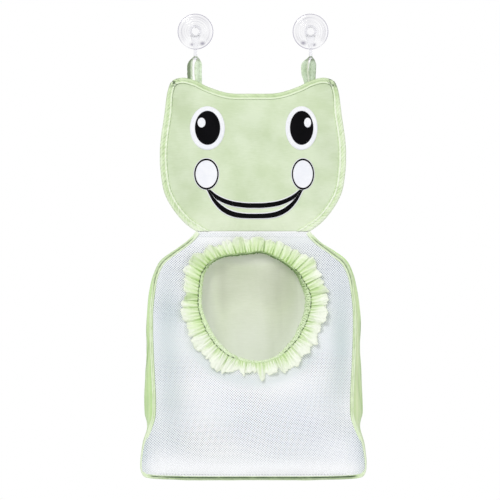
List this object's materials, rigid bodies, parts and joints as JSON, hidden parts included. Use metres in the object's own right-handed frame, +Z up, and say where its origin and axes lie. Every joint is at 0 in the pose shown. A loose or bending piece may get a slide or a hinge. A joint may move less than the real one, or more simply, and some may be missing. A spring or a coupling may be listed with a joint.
{
  "type": "bath toy bag",
  "caption": "Hanging bag for bath toys: a stiff smiling animal head above a wedge-shaped mesh pouch with a round gathered mouth, held by clear suction hooks.",
  "frame": {"origin": "on the wall plane, midway between the suction cups", "axes": "+Z up, +Y into the wall, +X to the viewer's right; the bag faces -Y"},
  "size_m": [0.2824, 0.0895, 0.5816],
  "materials": {
    "cup_plastic": "clear soft plastic",
    "hook_plastic": "clear hard plastic",
    "green_satin": "pale green satin",
    "green_tape": "folded satin tape",
    "white_mesh": "fine white mesh",
    "white_film": "pressed-on film",
    "black_film": "pressed-on film",
    "inner_sheet": "thin foamed sheet",
    "elastic": "flat elastic"
  },
  "bodies": {
    "hooks": {"left_hook": "hook_plastic", "right_hook": "hook_plastic"},
    "left_cup": {"left_suction_cup": "cup_plastic"},
    "right_cup": {"right_suction_cup": "cup_plastic"},
    "bag": {"left_loop": "green_satin", "right_loop": "green_satin", "back_panel": "green_satin", "head_stiffener": "inner_sheet", "head_front_panel": "green_satin", "head_binding": "green_tape", "left_eye_white": "white_film", "right_eye_white": "white_film", "left_pupil": "black_film", "right_pupil": "black_film", "left_glint": "white_film", "right_glint": "white_film", "left_cheek": "white_film", "right_cheek": "white_film", "left_cheek_outline": "black_film", "right_cheek_outline": "black_film", "smile": "black_film", "back_binding": "green_tape", "left_gusset": "green_satin", "right_gusset": "green_satin", "bottom_panel": "green_satin"},
    "front": {"front_mesh_panel": "white_mesh", "front_binding": "green_tape", "neck_hem": "white_mesh", "mouth_casing": "green_satin", "mouth_elastic": "elastic", "mouth_ruffle": "green_satin"}
  },
  "joints": [
    {"name": "left_cup_turn", "type": "hinge", "parent": "hooks", "child": "left_cup", "pos_m": [-0.072, -0.0117, 0], "axis": [0, 1, 0], "continuous": true},
    {"name": "right_cup_turn", "type": "hinge", "parent": "hooks", "child": "right_cup", "pos_m": [0.072, -0.0117, 0], "axis": [0, 1, 0], "continuous": true},
    {"name": "bag_swing", "type": "hinge", "parent": "hooks", "child": "bag", "pos_m": [0, -0.0167, -0.0296], "axis": [-1, 0, 0], "range_deg": [0, 60]},
    {"name": "front_flatten", "type": "hinge", "parent": "bag", "child": "front", "pos_m": [0, -0.0185, -0.25], "axis": [1, 0, 0], "range_deg": [0, 12], "deforming": ["left_gusset", "right_gusset", "bottom_panel"]}
  ]
}
